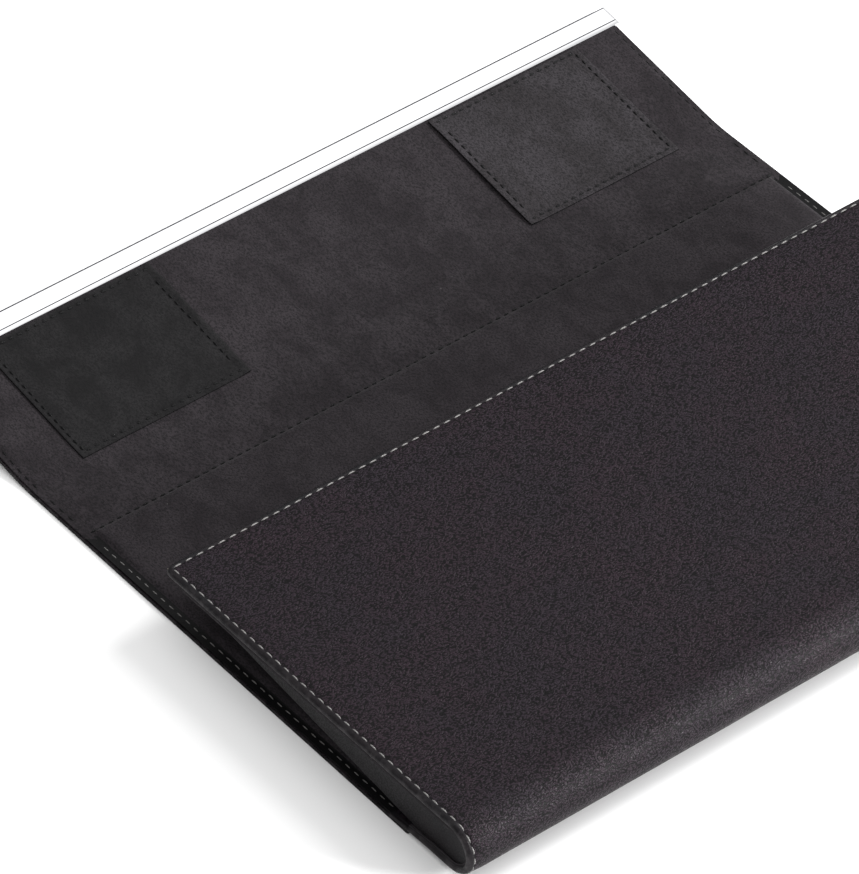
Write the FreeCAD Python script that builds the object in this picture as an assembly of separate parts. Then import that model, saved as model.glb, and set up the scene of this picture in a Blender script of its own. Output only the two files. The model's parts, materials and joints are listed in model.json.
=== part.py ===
"""Envelope sleeve for a 13-inch laptop, lying open on its back, flap laid out behind it.

The section is drawn in the Y-Z plane and carried along X.  While drawing, X starts at the left
side, Y at the outermost line of the bottom fold and Z at the surface that the sleeve lies on.
place() then moves every piece so that the origin is the centre of the whole footprint, on that
surface: +X to the right, +Y from the bottom fold towards the flap, +Z up.

The flap is described by a station, its distance along the flap (equal to Y while the flap is
still flat), and a height above the flap's outer face.
"""
import FreeCAD, Part
import math
import os

# ---- Driving dimensions, millimetres and degrees -------------------------------------------

BODY_WIDTH = 340.0            # across the mouth
BODY_HEIGHT = 25.3            # outside, over the front panel
FRONT_EDGE_Y = 178.5          # top edge of the front panel
SPINE_FOLD_Y = 234.0          # fold line between the back and the spine
SPINE_LENGTH = 25.0           # between the two fold lines of the flap
FLAP_LENGTH = 74.0            # from the second fold line to the cut end inside the bar

LEATHER = 1.0                 # thickness of the outer leather
LINING = 0.7                  # thickness of the suede lining

FRONT_BOARD = 1.4             # stiffener thicknesses
BACK_BOARD = 1.6
FLAP_BOARD = 0.6
DIVIDER_BOARD = 0.8

OVERLAP_START_Y = 36.0        # front end of the back leather, over the fold leather
OVERLAP_LENGTH = 10.0
SEWN_MARGIN = 7.0             # flat sewn edge of the back, outside its board
BOARD_TO_SPINE = 6.0          # soft strip between the back's board and the fold line
TURN_IN = 10.0                # width of the leather turned in round the front panel
FRONT_BOARD_Y = 16.0          # where the front panel's board and turn-in begin
LINING_INSET = 1.0            # lining's cut edge, inside the leather's edge

DIVIDER_UNDERSIDE = 14.2      # height of the divider's lower face, pocket filled
DIVIDER_EDGE_Y = 170.0        # free edge of the divider
DIVIDER_INSET = 1.5           # divider's sides, inside the leather's edge
DIVIDER_SEWN = 8.0            # inside this it leaves the front panel, to which it is sewn
DIVIDER_SLOPE = 12.0          # width over which it drops to its flat middle

BEND_LENGTH = 16.0            # stretch over which the flap curls up off the table
BEND_ANGLE = 9.5              # how far it curls
FLAP_BOARD_START = 3.0        # flap's board, from the second fold line
FLAP_BOARD_INSET = 3.0

POCKET_SHEET = 0.7            # card pockets on the flap
POCKET_START = 5.0            # from the second fold line
POCKET_TO_BAR = 1.0           # from its upper edge to the bar
LEFT_POCKET_X = 26.0          # outer side of the left pocket, from the left edge
LEFT_POCKET_WIDTH = 79.0
RIGHT_POCKET_X = 23.0         # outer side of the right pocket, from the right edge
RIGHT_POCKET_WIDTH = 75.0

BAR_WIDTH = 10.5              # closure bar, along the flap
BAR_WALL = 1.1                # over and under the flap
BAR_GRIP = 2.0                # how much of the flap it grips
BAR_OVERHANG = 1.0            # past each side of the flap
BAR_CAP = 1.2                 # thickness of its end caps
BAR_ROUND = 0.7

MAGNETS = 6                   # strips under the front leather, where the bar lands
MAGNET_LENGTH = 30.0
MAGNET_WIDTH = 8.0
MAGNET_THICK = 1.0
MAGNET_EDGE = 20.0            # outer magnets, from the sides

FOLD_GAP = 0.25               # half of the gap between pieces on the two sides of a fold line
FIT = 0.1                     # clearance round a board or magnet in its pocket
CLEAR = 0.4                   # between pieces that move past each other
DIVIDER_TO_FOLD = 0.4         # between the divider's lower end and the inside of the fold

# ---- Sizes that follow ---------------------------------------------------------------------

RIGHT = BODY_WIDTH
FLOOR_SKIN = LEATHER                              # top of the back leather
FLANGE_TOP = FLOOR_SKIN + LEATHER                 # fold leather lying on the back leather
FOLD_RADIUS = (BODY_HEIGHT - FLOOR_SKIN) / 2
FOLD_Y = FOLD_RADIUS                              # centre of the bottom fold
FOLD_Z = FLOOR_SKIN + FOLD_RADIUS
FOLD_INSIDE = FOLD_RADIUS - LEATHER - LINING

BACK_BOARD_TOP = FLOOR_SKIN + BACK_BOARD
BACK_TOP = BACK_BOARD_TOP + LINING                # inside face of the back
OVERLAP_END_Y = OVERLAP_START_Y + OVERLAP_LENGTH
BACK_BOARD_END_Y = SPINE_FOLD_Y - BOARD_TO_SPINE
SOFT_TOP = LEATHER + LINING                       # leather and lining with no board

FRONT_CORE_TOP = BODY_HEIGHT - LEATHER
FRONT_CORE_BOTTOM = FRONT_CORE_TOP - FRONT_BOARD
FRONT_BOTTOM = FRONT_CORE_BOTTOM - LEATHER        # underside of the turned-in leather

DIVIDER_THICK = DIVIDER_BOARD + 2 * LINING
DIVIDER_TOP = DIVIDER_UNDERSIDE + DIVIDER_THICK
DIVIDER_FLAT = DIVIDER_SEWN + DIVIDER_SLOPE       # its flat middle, from the leather's edge

FLAP_FOLD_Y = SPINE_FOLD_Y + SPINE_LENGTH
BEND_START = FLAP_FOLD_Y + FOLD_GAP
BEND_END = BEND_START + BEND_LENGTH
BEND = math.radians(BEND_ANGLE)
BEND_RADIUS = BEND_LENGTH / BEND
FLAP_END = FLAP_FOLD_Y + FLAP_LENGTH
FLAP_BOARD_TOP = LEATHER + FLAP_BOARD
FLAP_TOP = FLAP_BOARD_TOP + LINING
FLAP_BOARD_AT = FLAP_FOLD_Y + FLAP_BOARD_START
POCKET_AT = FLAP_FOLD_Y + POCKET_START

BAR_MOUTH = FLAP_END - BAR_GRIP
BAR_TOP = FLAP_TOP + BAR_WALL
POCKET_END = BAR_MOUTH - POCKET_TO_BAR

# Fold lines, on the lining's face, where the sheets turn.
SPINE_PIVOT = (SPINE_FOLD_Y, SOFT_TOP)
FLAP_PIVOT = (FLAP_FOLD_Y, SOFT_TOP)
FRONT_PIVOT = (0.0, FOLD_Z)

# Closed, the spine stands up and the flap lies over the front with its bar just clear of it.
SPINE_TURN = 90.0


def flap_point(station, height):
    """(y, z) of a point on the flap, given along it and above its outer face."""
    if station <= BEND_START:
        return station, height
    if station <= BEND_END:
        turn = (station - BEND_START) / BEND_RADIUS
        inner = BEND_RADIUS - height
        return BEND_START + inner * math.sin(turn), BEND_RADIUS - inner * math.cos(turn)
    y, z = flap_point(BEND_END, height)
    beyond = station - BEND_END
    return y + beyond * math.cos(BEND), z + beyond * math.sin(BEND)


def turned(point, pivot, degrees):
    """(y, z) of a point after turning about a fold line."""
    angle = math.radians(degrees)
    dy, dz = point[0] - pivot[0], point[1] - pivot[1]
    return (pivot[0] + dy * math.cos(angle) - dz * math.sin(angle),
            pivot[1] + dy * math.sin(angle) + dz * math.cos(angle))


def closing_turn():
    """Turn of the flap about its own fold line that brings the bar down onto the front panel."""
    bar_face = flap_point(BAR_MOUTH + BAR_WIDTH, BAR_TOP)
    reach = math.hypot(bar_face[0] - FLAP_PIVOT[0], bar_face[1] - FLAP_PIVOT[1])
    rest = math.atan2(bar_face[1] - FLAP_PIVOT[1], bar_face[0] - FLAP_PIVOT[0])
    closed_pivot_z = turned(FLAP_PIVOT, SPINE_PIVOT, SPINE_TURN)[1]
    drop = closed_pivot_z - (BODY_HEIGHT + CLEAR)
    landed = math.pi + math.asin(drop / reach)
    return math.degrees(landed - rest) - SPINE_TURN


FLAP_TURN = closing_turn()


def closed_y(station):
    """Y of a station on the flap's lining once the flap is closed."""
    on_spine = turned(flap_point(station, FLAP_TOP), FLAP_PIVOT, FLAP_TURN)
    return turned(on_spine, SPINE_PIVOT, SPINE_TURN)[0]


MAGNET_Y = closed_y(BAR_MOUTH + BAR_WIDTH / 2) - MAGNET_WIDTH / 2

# The mouth closes until the divider's free edge lies on the back.
FRONT_DROP = math.degrees(math.asin((DIVIDER_UNDERSIDE - BACK_TOP - CLEAR) / DIVIDER_EDGE_Y))

# ---- Shape helpers -------------------------------------------------------------------------


def block(x0, x1, y0, y1, z0, z1):
    return Part.makeBox(x1 - x0, y1 - y0, z1 - z0, FreeCAD.Vector(x0, y0, z0))


def joined(first, *others):
    return first.fuse(list(others)).removeSplitter()


def without(shape, *others):
    return shape.cut(list(others)).removeSplitter()


def fold_quarter(radius, thickness, x0, x1, upper):
    """A quarter of the round bottom fold, above or below its outermost line."""
    axis_start = FreeCAD.Vector(x0, FOLD_Y, FOLD_Z)
    along = FreeCAD.Vector(1, 0, 0)
    outer = Part.makeCylinder(radius, x1 - x0, axis_start, along)
    inner = Part.makeCylinder(radius - thickness, x1 - x0, axis_start, along)
    if upper:
        quarter = block(x0, x1, FOLD_Y - radius, FOLD_Y, FOLD_Z + FOLD_GAP, FOLD_Z + radius)
    else:
        quarter = block(x0, x1, FOLD_Y - radius, FOLD_Y, FOLD_Z - radius, FOLD_Z - FOLD_GAP)
    return outer.cut(inner).common(quarter)


def flap_vector(station, height):
    y, z = flap_point(station, height)
    return FreeCAD.Vector(0, y, z)


def flap_edges(start, end, height):
    """Edges along the flap at one height: straight, through the bend, straight."""
    stops = [start] + [s for s in (BEND_START, BEND_END) if start < s < end] + [end]
    edges = []
    for near, far in zip(stops, stops[1:]):
        ends = flap_vector(near, height), flap_vector(far, height)
        if BEND_START <= near < BEND_END:
            middle = flap_vector((near + far) / 2, height)
            edges.append(Part.Arc(ends[0], middle, ends[1]).toShape())
        else:
            edges.append(Part.LineSegment(*ends).toShape())
    return edges


def flap_sheet(start, end, low, high, x0, x1):
    """A sheet that follows the flap between two stations and two heights."""
    near = Part.LineSegment(flap_vector(start, low), flap_vector(start, high)).toShape()
    far = Part.LineSegment(flap_vector(end, low), flap_vector(end, high)).toShape()
    outline = flap_edges(start, end, low) + [far] + flap_edges(start, end, high) + [near]
    face = Part.Face(Part.Wire(Part.__sortEdges__(outline)))
    sheet = face.extrude(FreeCAD.Vector(x1 - x0, 0, 0))
    sheet.translate(FreeCAD.Vector(x0, 0, 0))
    return sheet


def on_straight_flap(shape):
    """Tilts a piece drawn flat (Y = station, Z = height) onto the flap past its bend."""
    laid = shape.copy()
    flat_end = FreeCAD.Vector(0, BEND_END, 0)
    laid.rotate(flat_end, FreeCAD.Vector(1, 0, 0), BEND_ANGLE)
    laid.translate(flap_vector(BEND_END, 0) - flat_end)
    return laid

# ---- Back, with the lower half of the bottom fold ------------------------------------------


def back_leather():
    return block(0, RIGHT, OVERLAP_START_Y, SPINE_FOLD_Y - FOLD_GAP, 0, FLOOR_SKIN)


def fold_leather():
    """Lower half of the fold and the flange that the back leather overlaps."""
    quarter = fold_quarter(FOLD_RADIUS, LEATHER, 0, RIGHT, upper=False)
    flange = block(0, RIGHT, FOLD_Y, OVERLAP_END_Y, FLOOR_SKIN, FLANGE_TOP)
    return joined(quarter, flange)


def fold_lining():
    inner = FOLD_RADIUS - LEATHER
    quarter = fold_quarter(inner, LINING, LINING_INSET, RIGHT - LINING_INSET, upper=False)
    run = block(LINING_INSET, RIGHT - LINING_INSET, FOLD_Y, OVERLAP_START_Y - LINING,
                FLANGE_TOP, FLANGE_TOP + LINING)
    return joined(quarter, run)


def back_board():
    """Stiffener of the back, thinned where it runs over the fold leather's flange."""
    plate = block(SEWN_MARGIN, RIGHT - SEWN_MARGIN, OVERLAP_START_Y, BACK_BOARD_END_Y,
                  FLOOR_SKIN, BACK_BOARD_TOP)
    flange = block(0, RIGHT, OVERLAP_START_Y, OVERLAP_END_Y + FIT, FLOOR_SKIN, FLANGE_TOP)
    return without(plate, flange)


def back_lining():
    """Lining drawn over the board and down to a flat sewn margin round it."""
    x0, x1 = LINING_INSET, RIGHT - LINING_INSET
    flange_end = OVERLAP_END_Y + FIT
    over_flange = block(x0, x1, OVERLAP_START_Y - LINING, flange_end + LINING,
                        FLANGE_TOP, FLANGE_TOP + LINING)
    margin = block(x0, x1, flange_end, SPINE_FOLD_Y - FOLD_GAP, FLOOR_SKIN, SOFT_TOP)
    cover = LINING + FIT
    raised = block(SEWN_MARGIN - cover, RIGHT - SEWN_MARGIN + cover, OVERLAP_START_Y - LINING,
                   BACK_BOARD_END_Y + cover, FLOOR_SKIN, BACK_TOP)
    core = block(SEWN_MARGIN - FIT, RIGHT - SEWN_MARGIN + FIT, OVERLAP_START_Y,
                 BACK_BOARD_END_Y + FIT, FLOOR_SKIN, BACK_BOARD_TOP)
    flange = block(0, RIGHT, 0, flange_end, FLOOR_SKIN, FLANGE_TOP)
    return without(joined(over_flange, margin, raised), core, flange)

# ---- Front panel, with the upper half of the bottom fold -----------------------------------


def front_leather():
    """One skin: over the panel, round the fold, and turned in along the other three sides."""
    panel = block(0, RIGHT, FRONT_BOARD_Y, FRONT_EDGE_Y, FRONT_BOTTOM, BODY_HEIGHT)
    core = block(LEATHER, RIGHT - LEATHER, FRONT_BOARD_Y, FRONT_EDGE_Y - LEATHER,
                 FRONT_CORE_BOTTOM, FRONT_CORE_TOP)
    window = block(TURN_IN, RIGHT - TURN_IN, FRONT_BOARD_Y, FRONT_EDGE_Y - TURN_IN,
                   FRONT_BOTTOM, FRONT_CORE_BOTTOM)
    skin = block(0, RIGHT, FOLD_Y, FRONT_BOARD_Y, FRONT_CORE_TOP, BODY_HEIGHT)
    quarter = fold_quarter(FOLD_RADIUS, LEATHER, 0, RIGHT, upper=True)
    return joined(without(panel, core, window), skin, quarter)


def magnet_blocks(grow):
    """The magnet strips, or with some growth the pockets that they sit in."""
    span = RIGHT - 2 * MAGNET_EDGE - MAGNET_LENGTH
    strips = []
    for index in range(MAGNETS):
        x = MAGNET_EDGE + span * index / (MAGNETS - 1)
        strips.append(block(x - grow, x + MAGNET_LENGTH + grow, MAGNET_Y - grow,
                            MAGNET_Y + MAGNET_WIDTH + grow,
                            FRONT_CORE_TOP - MAGNET_THICK - grow, FRONT_CORE_TOP))
    return strips


def front_board():
    plate = block(LEATHER + FIT, RIGHT - LEATHER - FIT, FRONT_BOARD_Y,
                  FRONT_EDGE_Y - LEATHER - FIT, FRONT_CORE_BOTTOM, FRONT_CORE_TOP)
    return without(plate, *magnet_blocks(FIT))


def closure_magnets():
    return Part.makeCompound(magnet_blocks(0))


def front_lining():
    return block(TURN_IN + FIT, RIGHT - TURN_IN - FIT, FRONT_BOARD_Y,
                 FRONT_EDGE_Y - TURN_IN - FIT, FRONT_CORE_BOTTOM - LINING, FRONT_CORE_BOTTOM)


def front_fold_lining():
    inner = FOLD_RADIUS - LEATHER
    quarter = fold_quarter(inner, LINING, LINING_INSET, RIGHT - LINING_INSET, upper=True)
    run = block(LINING_INSET, RIGHT - LINING_INSET, FOLD_Y, FRONT_BOARD_Y - FIT,
                FRONT_CORE_TOP - LINING, FRONT_CORE_TOP)
    return joined(quarter, run)

# ---- Divider, which makes the document pocket with the front panel -------------------------


def inside_fold(sheet):
    """Trims the lower end of a divider sheet to the round inside of the fold."""
    axis_start = FreeCAD.Vector(0, FOLD_Y, FOLD_Z)
    round_end = Part.makeCylinder(FOLD_INSIDE - DIVIDER_TO_FOLD, RIGHT, axis_start,
                                  FreeCAD.Vector(1, 0, 0))
    beyond = block(0, RIGHT, FOLD_Y, DIVIDER_EDGE_Y, 0, BODY_HEIGHT)
    return sheet.common(round_end.fuse(beyond)).removeSplitter()


def divider_lining(middle, side):
    """A lining sheet, sewn flat along both sides and dropped between them to its middle."""
    lower = [(DIVIDER_INSET, side), (DIVIDER_SEWN, side), (DIVIDER_FLAT, middle),
             (RIGHT - DIVIDER_FLAT, middle), (RIGHT - DIVIDER_SEWN, side),
             (RIGHT - DIVIDER_INSET, side)]
    upper = [(x, z + LINING) for x, z in reversed(lower)]
    outline = [FreeCAD.Vector(x, 0, z) for x, z in lower + upper + lower[:1]]
    face = Part.Face(Part.makePolygon(outline))
    return inside_fold(face.extrude(FreeCAD.Vector(0, DIVIDER_EDGE_Y, 0)))


def divider_lower_lining():
    return divider_lining(DIVIDER_UNDERSIDE, FRONT_BOTTOM - 2 * LINING)


def divider_upper_lining():
    return divider_lining(DIVIDER_TOP - LINING, FRONT_BOTTOM - LINING)


def divider_board():
    plate = block(DIVIDER_FLAT, RIGHT - DIVIDER_FLAT, 0, DIVIDER_EDGE_Y,
                  DIVIDER_UNDERSIDE + LINING, DIVIDER_TOP - LINING)
    return inside_fold(plate)

# ---- Spine ---------------------------------------------------------------------------------


def spine_leather():
    return block(0, RIGHT, SPINE_FOLD_Y + FOLD_GAP, FLAP_FOLD_Y - FOLD_GAP, 0, LEATHER)


def spine_lining():
    return block(LINING_INSET, RIGHT - LINING_INSET, SPINE_FOLD_Y + FOLD_GAP,
                 FLAP_FOLD_Y - FOLD_GAP, LEATHER, SOFT_TOP)

# ---- Flap ----------------------------------------------------------------------------------


def flap_leather():
    return flap_sheet(BEND_START, FLAP_END, 0, LEATHER, 0, RIGHT)


def flap_board():
    return flap_sheet(FLAP_BOARD_AT, FLAP_END, LEATHER, FLAP_BOARD_TOP,
                      FLAP_BOARD_INSET, RIGHT - FLAP_BOARD_INSET)


def flap_lining():
    """Lies on the leather up to the board, then steps up over it."""
    x0, x1 = LINING_INSET, RIGHT - LINING_INSET
    edge = FLAP_BOARD_AT - FIT
    low = flap_sheet(BEND_START, edge, LEATHER, SOFT_TOP, x0, x1)
    step = flap_sheet(edge - LINING, edge, LEATHER, FLAP_TOP, x0, x1)
    high = flap_sheet(edge - LINING, FLAP_END, FLAP_BOARD_TOP, FLAP_TOP, x0, x1)
    return joined(low, step, high)


def card_pocket(x0, x1):
    return flap_sheet(POCKET_AT, POCKET_END, FLAP_TOP, FLAP_TOP + POCKET_SHEET, x0, x1)


def left_card_pocket():
    return card_pocket(LEFT_POCKET_X, LEFT_POCKET_X + LEFT_POCKET_WIDTH)


def right_card_pocket():
    outer = RIGHT - RIGHT_POCKET_X
    return card_pocket(outer - RIGHT_POCKET_WIDTH, outer)


def bar_blank(x0, x1):
    """The bar's outside, solid, with its four long edges rounded."""
    blank = block(x0, x1, BAR_MOUTH, BAR_MOUTH + BAR_WIDTH, -BAR_WALL, BAR_TOP)
    long_edges = [edge for edge in blank.Edges
                  if abs(edge.Vertexes[0].X - edge.Vertexes[1].X) > (x1 - x0) / 2]
    return blank.makeFillet(BAR_ROUND, long_edges)


def closure_bar():
    """Metal channel folded over the flap's cut end."""
    x0, x1 = -BAR_OVERHANG + BAR_CAP, RIGHT + BAR_OVERHANG - BAR_CAP
    slot = block(x0, x1, BAR_MOUTH, FLAP_END + FIT, 0, FLAP_TOP)
    return on_straight_flap(bar_blank(x0, x1).cut(slot))


def bar_cap(x0):
    """Plate that closes one end of the channel, notched round the flap's corner."""
    cap = bar_blank(x0, x0 + BAR_CAP)
    notch = block(0, RIGHT, BAR_MOUTH, FLAP_END + FIT, 0, FLAP_TOP)
    return on_straight_flap(cap.cut(notch))


def bar_left_cap():
    return bar_cap(-BAR_OVERHANG)


def bar_right_cap():
    return bar_cap(RIGHT + BAR_OVERHANG - BAR_CAP)

# ---- Assembly ------------------------------------------------------------------------------


PIECES = [back_leather, fold_leather, fold_lining, back_board, back_lining,
          front_leather, front_board, closure_magnets, front_lining, front_fold_lining,
          divider_lower_lining, divider_upper_lining, divider_board,
          spine_leather, spine_lining,
          flap_leather, flap_board, flap_lining, left_card_pocket, right_card_pocket,
          closure_bar, bar_left_cap, bar_right_cap]

SHAPES = {piece.__name__: piece() for piece in PIECES}
DEPTH = max(shape.BoundBox.YMax for shape in SHAPES.values())
ORIGIN = FreeCAD.Vector(RIGHT / 2, DEPTH / 2, 0)

os.makedirs("parts", exist_ok=True)
for name, shape in SHAPES.items():
    placed = shape.copy()
    placed.translate(-ORIGIN)
    placed.exportStep("parts/" + name + ".step")

# Fold lines in the placed frame, and how far each turns from this open pose.
for name, line, low, high in (("front_fold", FRONT_PIVOT, -FRONT_DROP, 0.0),
                              ("spine_fold", SPINE_PIVOT, 0.0, SPINE_TURN),
                              ("flap_fold", FLAP_PIVOT, 0.0, FLAP_TURN)):
    print(f"{name}: Y {line[0] - ORIGIN.y:.3f}, Z {line[1]:.3f} mm, {low:.3f} to {high:.3f} degrees")
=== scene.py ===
"""Envelope laptop sleeve: pebbled leather outside, suede inside, polished bar on the flap.

Each sheet is made flat, as it is cut: its stations run along +Y, its outside faces +Z.  Its edges
are turned or trimmed there, and then it is laid along the sleeve's section.
"""
import json
import math
import random

import bmesh
import bpy
from mathutils import Matrix, Vector


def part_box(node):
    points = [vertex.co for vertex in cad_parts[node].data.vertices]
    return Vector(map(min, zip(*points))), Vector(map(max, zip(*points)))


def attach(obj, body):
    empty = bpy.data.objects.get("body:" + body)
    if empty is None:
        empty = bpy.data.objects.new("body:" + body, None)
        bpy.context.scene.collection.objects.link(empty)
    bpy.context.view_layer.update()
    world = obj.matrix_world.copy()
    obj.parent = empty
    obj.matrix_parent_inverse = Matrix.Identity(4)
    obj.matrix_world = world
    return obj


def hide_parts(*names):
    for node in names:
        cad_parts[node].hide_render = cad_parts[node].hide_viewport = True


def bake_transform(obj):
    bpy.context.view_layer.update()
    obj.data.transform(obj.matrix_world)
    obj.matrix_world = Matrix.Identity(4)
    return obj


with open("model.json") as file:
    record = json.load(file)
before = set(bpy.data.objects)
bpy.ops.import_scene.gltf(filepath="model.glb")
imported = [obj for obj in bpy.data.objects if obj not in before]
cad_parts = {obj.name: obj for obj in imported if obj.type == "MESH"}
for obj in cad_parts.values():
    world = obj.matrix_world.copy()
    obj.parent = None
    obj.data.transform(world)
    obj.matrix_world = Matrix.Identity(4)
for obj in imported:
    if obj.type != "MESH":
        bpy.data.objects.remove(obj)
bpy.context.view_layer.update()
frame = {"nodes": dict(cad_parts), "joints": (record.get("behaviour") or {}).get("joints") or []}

# ---- Sizes and places, in metres -------------------------------------------------------------

MM = 0.001
TINY = 0.01 * MM

front_low, front_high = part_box("front_leather")
back_low, back_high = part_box("back_leather")
fold_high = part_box("fold_leather")[1]
cover_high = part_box("back_lining")[1]
board_low, board_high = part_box("back_board")
divider_low, divider_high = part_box("divider_board")
pivot = {joint["name"]: Vector(joint["pos_m"]) for joint in frame["joints"]}

HALF = front_high.x                      # half of the sleeve's width
LEATHER = back_high.z                    # thickness of one leather
LINING = 0.7 * MM
SOFT_TOP = pivot["spine_fold"].z         # leather and lining, with no board between
FRONT_TOP = front_high.z
FRONT_EDGE = front_high.y                # top edge of the front panel
FOLD_OUT = front_low.y                   # outermost line of the bottom fold
FOLD_RADIUS = (FRONT_TOP - LEATHER) / 2
FOLD_Y = FOLD_OUT + FOLD_RADIUS
FLANGE_END = fold_high.y                 # end of the fold leather, under the back's lining
FLANGE = FLANGE_END - FOLD_Y
FOLD_LENGTH = math.pi * FOLD_RADIUS
PANEL_START = FLANGE + FOLD_LENGTH       # station where the flat front panel begins
FRONT_LENGTH = PANEL_START + FRONT_EDGE - FOLD_Y

SPINE_FOLD = pivot["spine_fold"].y
FLAP_FOLD = pivot["flap_fold"].y
MID_SPINE = (SPINE_FOLD + FLAP_FOLD) / 2
BEND_LENGTH = 16 * MM                    # stretch over which the flap curls up
BEND_TURN = math.radians(9.5)
FLAP_END = FLAP_FOLD + 74 * MM           # station of the flap's cut end, inside the bar

PITCH = 5 * MM                           # from stitch to stitch
CELL = PITCH / 3                         # mesh cells along a stitched edge
FINE_PITCH = 4 * MM                      # the same, for the black stitches on suede
STITCH_INSET = 2.4 * MM                  # stitches, from the sheet's edge
STITCH_PULL = 0.22 * MM                  # how far a stitch draws its sheet down
RIM_DEPTH = 3.4 * MM                     # front panel with its leather turned in


class Path:
    """A line in the section that a flat sheet is laid along: straight runs and round bends."""

    def __init__(self, start, heading, runs, zero=0.0):
        self.start, self.heading, self.runs, self.zero = start, heading, runs, zero

    def place(self, station, height):
        y, z = self.start
        heading = self.heading
        left = station - self.zero
        for index, (length, turn) in enumerate(self.runs):
            last = index == len(self.runs) - 1
            step = left if last else min(left, length)
            if turn:
                radius = length / turn
                angle = heading + step / radius
                y += radius * (math.sin(angle) - math.sin(heading))
                z -= radius * (math.cos(angle) - math.cos(heading))
                heading = angle
            else:
                y += step * math.cos(heading)
                z += step * math.sin(heading)
            left -= step
            if left <= 0:
                break
        return y - height * math.sin(heading), z + height * math.cos(heading)


# From the flange's end forwards under the sleeve, round the fold and up the front panel.
FRONT_PATH = Path((FLANGE_END, LEATHER), math.pi,
                  [(FLANGE, 0), (FOLD_LENGTH, -math.pi), (1, 0)])
# Along the underside of the back, the spine and the flap, which curls up off the table.  Its
# stations are counted as Y.
BACK_START = back_low.y
BACK_PATH = Path((BACK_START, 0), 0, [(FLAP_FOLD - BACK_START + 0.25 * MM, 0),
                                      (BEND_LENGTH, BEND_TURN), (1, 0)], BACK_START)

# ---- Working on a mesh -------------------------------------------------------------------------


def work_on(piece):
    if bpy.context.mode != "OBJECT":
        bpy.ops.object.mode_set(mode="OBJECT")
    bpy.ops.object.select_all(action="DESELECT")
    piece.select_set(True)
    bpy.context.view_layer.objects.active = piece


def edit(piece, kind="VERT"):
    work_on(piece)
    bpy.ops.object.mode_set(mode="EDIT")
    bpy.ops.mesh.select_mode(type=kind)
    bpy.ops.mesh.select_all(action="DESELECT")


def done():
    bpy.ops.object.mode_set(mode="OBJECT")


def pick(piece, kind, wanted):
    """Selects the vertices, edges or faces, in edit mode, whose corners all pass a test."""
    bpy.ops.mesh.select_all(action="DESELECT")
    shape = bmesh.from_edit_mesh(piece.data)
    items = {"VERT": shape.verts, "EDGE": shape.edges, "FACE": shape.faces}[kind]
    for item in items:
        corners = [item.co] if kind == "VERT" else [vert.co for vert in item.verts]
        if wanted(*corners) if kind == "EDGE" else all(wanted(co) for co in corners):
            item.select = True
    shape.select_flush_mode()
    bmesh.update_edit_mesh(piece.data)


def apply_modifier(piece, kind, **settings):
    work_on(piece)
    modifier = piece.modifiers.new(kind.lower(), kind)
    for name, value in settings.items():
        setattr(modifier, name, value)
    bpy.ops.object.modifier_apply(modifier=modifier.name)


def flat_sheet(name, half, start, end, across=0.0):
    """One flat face: half its width to each side of across, between two stations."""
    if bpy.context.mode != "OBJECT":
        done()
    bpy.ops.object.select_all(action="DESELECT")
    middle = (across, (start + end) / 2, 0)
    bpy.ops.mesh.primitive_plane_add(size=1, location=middle)
    piece = bpy.context.object
    piece.name = piece.data.name = name
    edit(piece)
    bpy.ops.mesh.select_all(action="SELECT")
    bpy.ops.transform.resize(value=(2 * half, end - start, 1), center_override=middle)
    done()
    bpy.ops.object.transform_apply(location=True, rotation=True, scale=True)
    return piece


SIDES = {"left": (0, -1), "right": (0, 1), "start": (1, -1), "end": (1, 1)}


def carry_edges(piece, sides, steps):
    """Carries chosen sides of a flat face on through steps of (outwards, up), mitred."""
    edit(piece, "EDGE")
    shape = bmesh.from_edit_mesh(piece.data)
    reach = {side: max(SIDES[side][1] * vert.co[SIDES[side][0]] for vert in shape.verts)
             for side in sides}
    height = 0.0

    def on(side, level):
        axis, way = SIDES[side]
        return lambda a, b: all(abs(way * co[axis] - reach[side]) < TINY
                                and abs(co.z - level) < TINY for co in (a, b))

    for out, up in steps:
        pick(piece, "EDGE", lambda a, b: any(on(side, height)(a, b) for side in sides))
        bpy.ops.mesh.extrude_region_move(TRANSFORM_OT_translate={"value": (0, 0, up or 1 * MM)})
        raised = height + (up or 1 * MM)
        for side in sides:
            pick(piece, "EDGE", on(side, raised))
            axis, way = SIDES[side]
            move = [0, 0, 0]
            move[axis] = way * out
            bpy.ops.transform.translate(value=move)
            reach[side] += out
        if not up:
            pick(piece, "EDGE", lambda a, b: any(on(side, raised)(a, b) for side in sides))
            bpy.ops.transform.translate(value=(0, 0, -1 * MM))
        height += up
    done()


def extend(piece, axis, place, wanted, move, flatten=1.0):
    """Carries the edges at one place on by a move, pressing their heights together."""
    edit(piece, "EDGE")
    pick(piece, "EDGE", lambda a, b: all(abs(co[axis] - place) < TINY and wanted(co)
                                         for co in (a, b)))
    bpy.ops.mesh.extrude_region_move(TRANSFORM_OT_translate={"value": move})
    bpy.ops.transform.resize(value=(1, 1, flatten), center_override=(0, 0, 0))
    done()


def cut_up(piece, axis, low, high, cell):
    """Divides the edges that run at least the whole way from low to high along an axis."""
    edit(piece, "EDGE")
    pick(piece, "EDGE", lambda a, b: (min(a[axis], b[axis]) < low + TINY
                                      and max(a[axis], b[axis]) > high - TINY))
    bpy.ops.mesh.subdivide(number_cuts=max(1, round((high - low) / cell) - 1))
    done()


def shift(piece, wanted, move):
    edit(piece)
    pick(piece, "VERT", wanted)
    bpy.ops.transform.translate(value=move)
    done()


def uneven(piece, size, strength, across="Z"):
    """The slight unevenness of leather and cloth."""
    clouds = bpy.data.textures.new(piece.name, type="CLOUDS")
    clouds.noise_scale = size
    clouds.noise_depth = 2
    apply_modifier(piece, "DISPLACE", texture=clouds, strength=strength, mid_level=0.5,
                   direction=across, texture_coords="LOCAL")


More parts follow.
